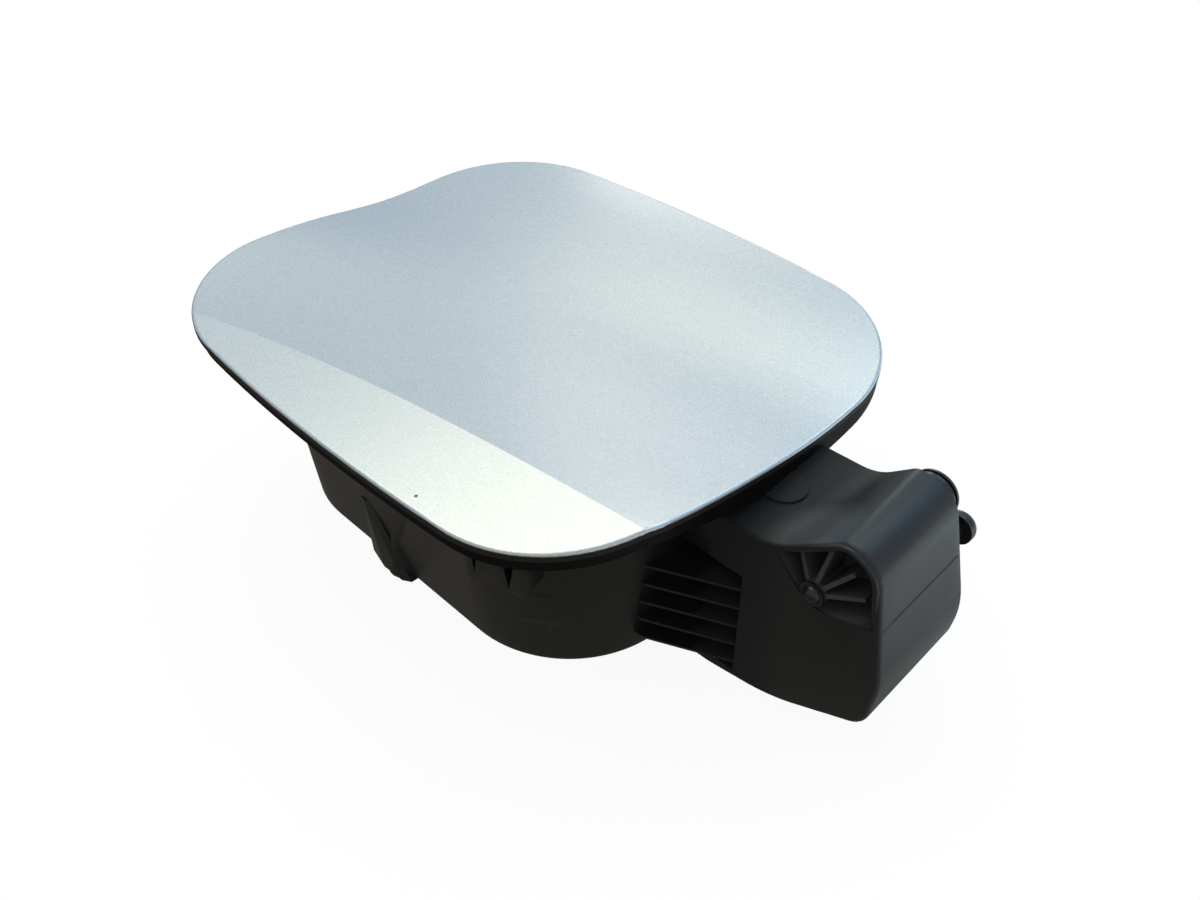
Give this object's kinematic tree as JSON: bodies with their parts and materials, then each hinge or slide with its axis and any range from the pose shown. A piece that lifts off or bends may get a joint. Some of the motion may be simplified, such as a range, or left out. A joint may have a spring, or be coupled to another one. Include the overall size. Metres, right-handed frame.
{
  "type": "car fuel door",
  "caption": "Car fuel door: painted flap on a gooseneck hinge, closed over a black moulded filler bowl with a hinge pocket, rim seal and filler neck collar.",
  "frame": {"origin": "centre of the filler neck bore, in the plane of the bowl's base", "axes": "+Z out of the car, along the neck bore and square to the closed flap; +X towards the hinge; +Y along the hinge axis, from the domed pin end to the headed one"},
  "size_m": [0.2275, 0.1531, 0.0718],
  "materials": {
    "paint": "silver metallic paint, gloss",
    "plastic": "black moulded plastic, satin",
    "pin_plastic": "black plastic, smooth",
    "rubber": "matt black rubber",
    "steel": "zinc plated"
  },
  "bodies": {
    "bowl": {"filler_bowl": "plastic", "rim_seal": "rubber", "neck_seal": "rubber", "closing_spring": "steel", "spring_post": "pin_plastic", "buffer_near": "rubber", "buffer_far": "rubber", "lock_grommet": "rubber"},
    "flap": {"outer_flap": "paint", "flap_carrier": "plastic", "latch_eye": "plastic", "hinge_arm": "plastic", "arm_screw_1": "steel", "arm_screw_2": "steel", "arm_screw_3": "steel", "arm_screw_4": "steel", "hinge_pin": "pin_plastic"}
  },
  "joints": [
    {"name": "flap_hinge", "type": "hinge", "parent": "bowl", "child": "flap", "pos_m": [0.116, 0, 0.0492], "axis": [0, 1, 0], "range_deg": [0, 80], "stiffness_Nm_per_rad": 0.05}
  ]
}
